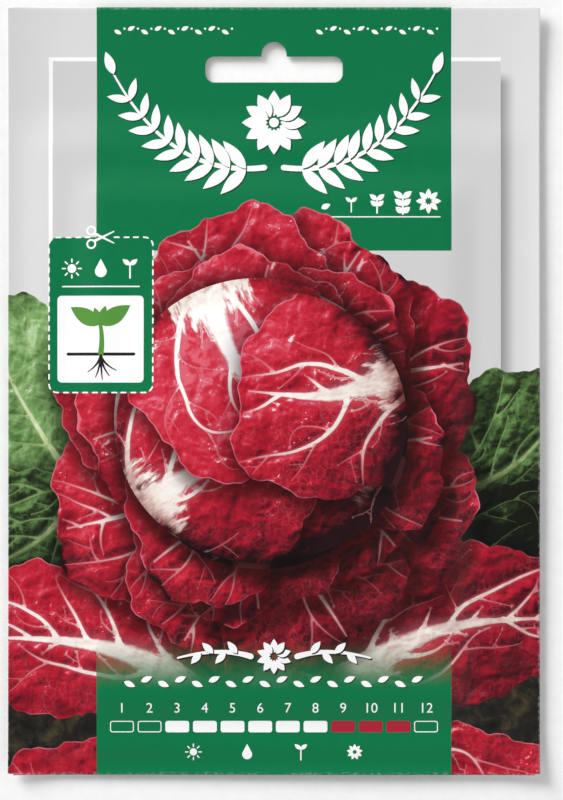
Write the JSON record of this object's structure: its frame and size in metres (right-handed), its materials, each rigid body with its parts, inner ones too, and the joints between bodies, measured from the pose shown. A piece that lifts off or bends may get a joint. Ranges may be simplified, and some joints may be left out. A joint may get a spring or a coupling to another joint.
{
  "type": "seed packet",
  "caption": "Flat paper seed packet with a punched hang slot, folded flaps and side seam, holding a sealed foil sachet of small vegetable seeds; lies on its back.",
  "frame": {"origin": "middle of the packet's footprint, on the surface that it lies on", "axes": "+X across the packet to its right side, +Y up its face to the hang slot, +Z out of its printed front"},
  "size_m": [0.1386, 0.2, 0.0049],
  "materials": {
    "printed_paper": "coated paper with a satin gloss, printed",
    "foil_film": "satin foil laminate",
    "seed_coat": "dry and matt"
  },
  "bodies": {
    "root": {"outer_envelope": "printed_paper", "sachet_back_web": "foil_film", "sachet_front_web": "foil_film", "seed_heap": "seed_coat"}
  },
  "joints": []
}
